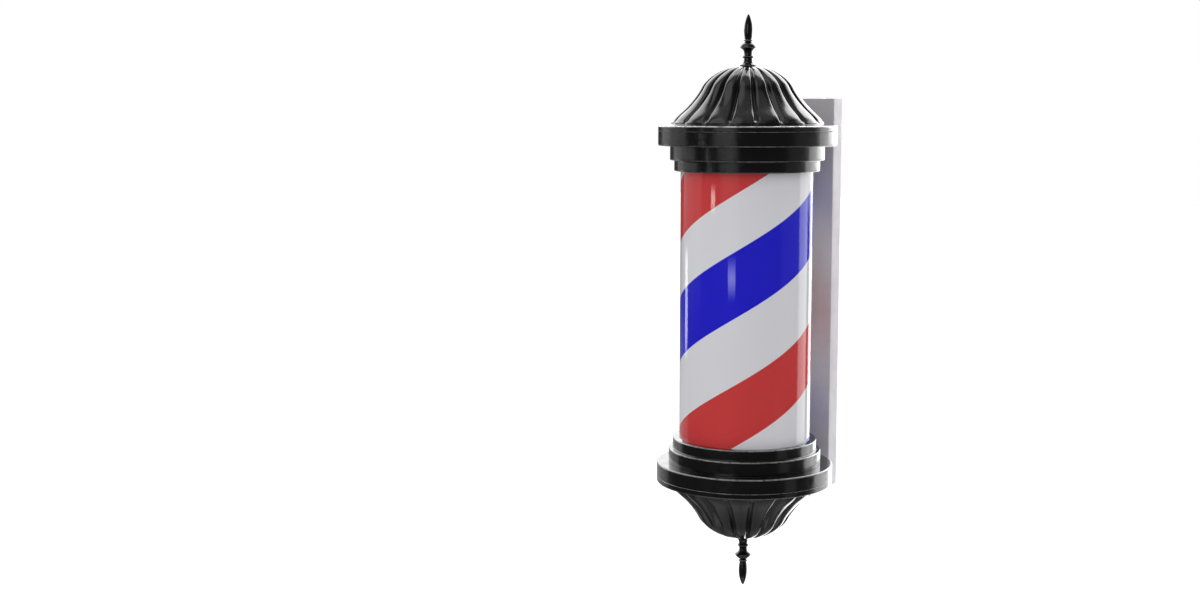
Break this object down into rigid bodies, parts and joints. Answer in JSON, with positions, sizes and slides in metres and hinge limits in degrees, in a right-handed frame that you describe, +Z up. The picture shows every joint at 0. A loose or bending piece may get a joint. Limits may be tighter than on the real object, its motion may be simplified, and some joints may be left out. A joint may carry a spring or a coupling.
{
  "type": "barber pole light",
  "caption": "Wall-mounted barber pole light: striped drum turning inside a clear tube between fluted dome caps, on a flat back rail.",
  "frame": {"origin": "middle of the rail's wall face", "axes": "+Z up along the pole, +Y into the wall, the pole stands off towards -Y"},
  "size_m": [0.2148, 0.2424, 0.7],
  "materials": {
    "gloss_black": "gloss black stove enamel on cast aluminium",
    "clear_acrylic": "clear polished acrylic",
    "drum_white": "opal white diffusing plastic",
    "striped_print": "white film printed with a red and a blue helical stripe",
    "rail_grey": "satin grey powder coat on extruded aluminium",
    "plate_steel": "zinc plated steel",
    "fastener_steel": "bright zinc plated steel",
    "sink_aluminium": "mill finish extrusion",
    "motor_steel": "drawn steel",
    "bronze": "sintered bronze",
    "black_plastic": "moulded black nylon",
    "nylon_white": "moulded natural nylon",
    "seal_rubber": "black rubber",
    "cable_grey": "grey cable sheath",
    "strip_board": "white solder mask",
    "chip_yellow": "phosphor coated light chip",
    "supply_case": "white moulded case"
  },
  "bodies": {
    "housing": {"top_dome": "gloss_black", "bottom_dome": "gloss_black", "top_finial": "gloss_black", "bottom_finial": "gloss_black", "top_finial_nut": "fastener_steel", "bottom_finial_nut": "fastener_steel", "top_band": "gloss_black", "bottom_band": "gloss_black", "top_collar": "gloss_black", "bottom_collar": "gloss_black", "top_bracket": "gloss_black", "bottom_bracket": "gloss_black", "top_tube_seal": "seal_rubber", "bottom_tube_seal": "seal_rubber", "lamp_plate": "plate_steel", "motor_plate": "plate_steel", "collar_screws": "fastener_steel", "dome_screws": "fastener_steel", "cap_bolts": "fastener_steel", "rail_bolts": "fastener_steel", "outer_tube": "clear_acrylic", "lamp_stem": "plate_steel", "stem_nuts": "fastener_steel", "heat_sink": "sink_aluminium", "light_strips": "strip_board", "light_chips": "chip_yellow", "gear_case": "motor_steel", "motor_can": "motor_steel", "motor_screws": "fastener_steel", "thrust_washer": "bronze", "back_rail": "rail_grey", "rail_top_cap": "rail_grey", "rail_bottom_cap": "rail_grey", "rail_cap_screws": "fastener_steel", "wall_plate": "plate_steel", "power_supply": "supply_case", "power_supply_screws": "fastener_steel", "terminal_block": "nylon_white", "cable_gland": "black_plastic", "gland_nut": "black_plastic", "cable_grommets": "seal_rubber", "lamp_lead": "cable_grey", "motor_lead": "cable_grey", "motor_switch_body": "black_plastic", "lamp_switch_body": "black_plastic"},
    "drum": {"drum_tube": "drum_white", "striped_film": "striped_print", "drum_spider": "nylon_white", "drum_bush": "bronze", "drum_hub": "nylon_white", "drum_screws": "fastener_steel", "motor_shaft": "motor_steel", "hub_grub_screw": "fastener_steel"},
    "motor_rocker": {"motor_switch_rocker": "black_plastic"},
    "lamp_rocker": {"lamp_switch_rocker": "black_plastic"}
  },
  "joints": [
    {"name": "drum_spin", "type": "hinge", "parent": "housing", "child": "drum", "pos_m": [0, -0.135, 0], "axis": [0, 0, 1], "continuous": true},
    {"name": "motor_switch_tilt", "type": "hinge", "parent": "housing", "child": "motor_rocker", "pos_m": [-0.064, -0.0125, -0.2], "axis": [0, 1, 0], "range_deg": [-16, 0]},
    {"name": "lamp_switch_tilt", "type": "hinge", "parent": "housing", "child": "lamp_rocker", "pos_m": [-0.064, -0.0125, -0.16], "axis": [0, 1, 0], "range_deg": [-16, 0]}
  ]
}
